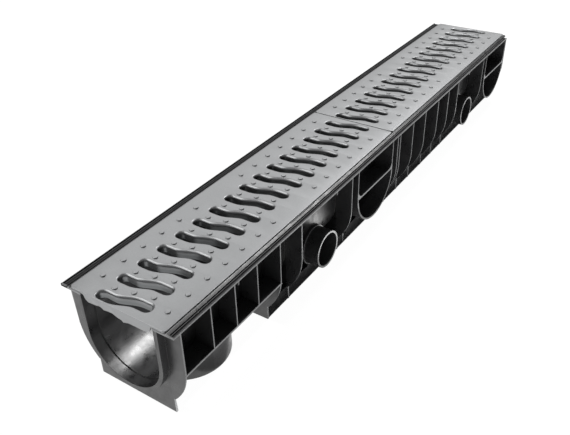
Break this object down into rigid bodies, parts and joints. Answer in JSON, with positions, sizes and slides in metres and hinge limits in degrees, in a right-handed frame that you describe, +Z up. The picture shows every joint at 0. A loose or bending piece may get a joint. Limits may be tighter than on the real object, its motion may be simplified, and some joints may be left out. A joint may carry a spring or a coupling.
{
  "type": "linear drainage channel with gratings",
  "caption": "Straight moulded drainage channel with a round-bottomed trough, ribs, pipe stubs and pressed steel gratings laid in its rim.",
  "frame": {"origin": "middle of the channel's length and width, on the surface that its feet stand on", "axes": "+Z up; Y along the channel, with the spigot end at -Y and the socket end at +Y; X across it"},
  "size_m": [0.156, 1, 0.13],
  "materials": {
    "moulded_polypropylene": "black moulded polypropylene, slightly glossy",
    "galvanised_steel": "pressed sheet steel, hot-dip galvanised, matt light grey"
  },
  "bodies": {
    "root": {"channel_body": "moulded_polypropylene", "grating_near": "galvanised_steel", "grating_far": "galvanised_steel"}
  },
  "joints": []
}
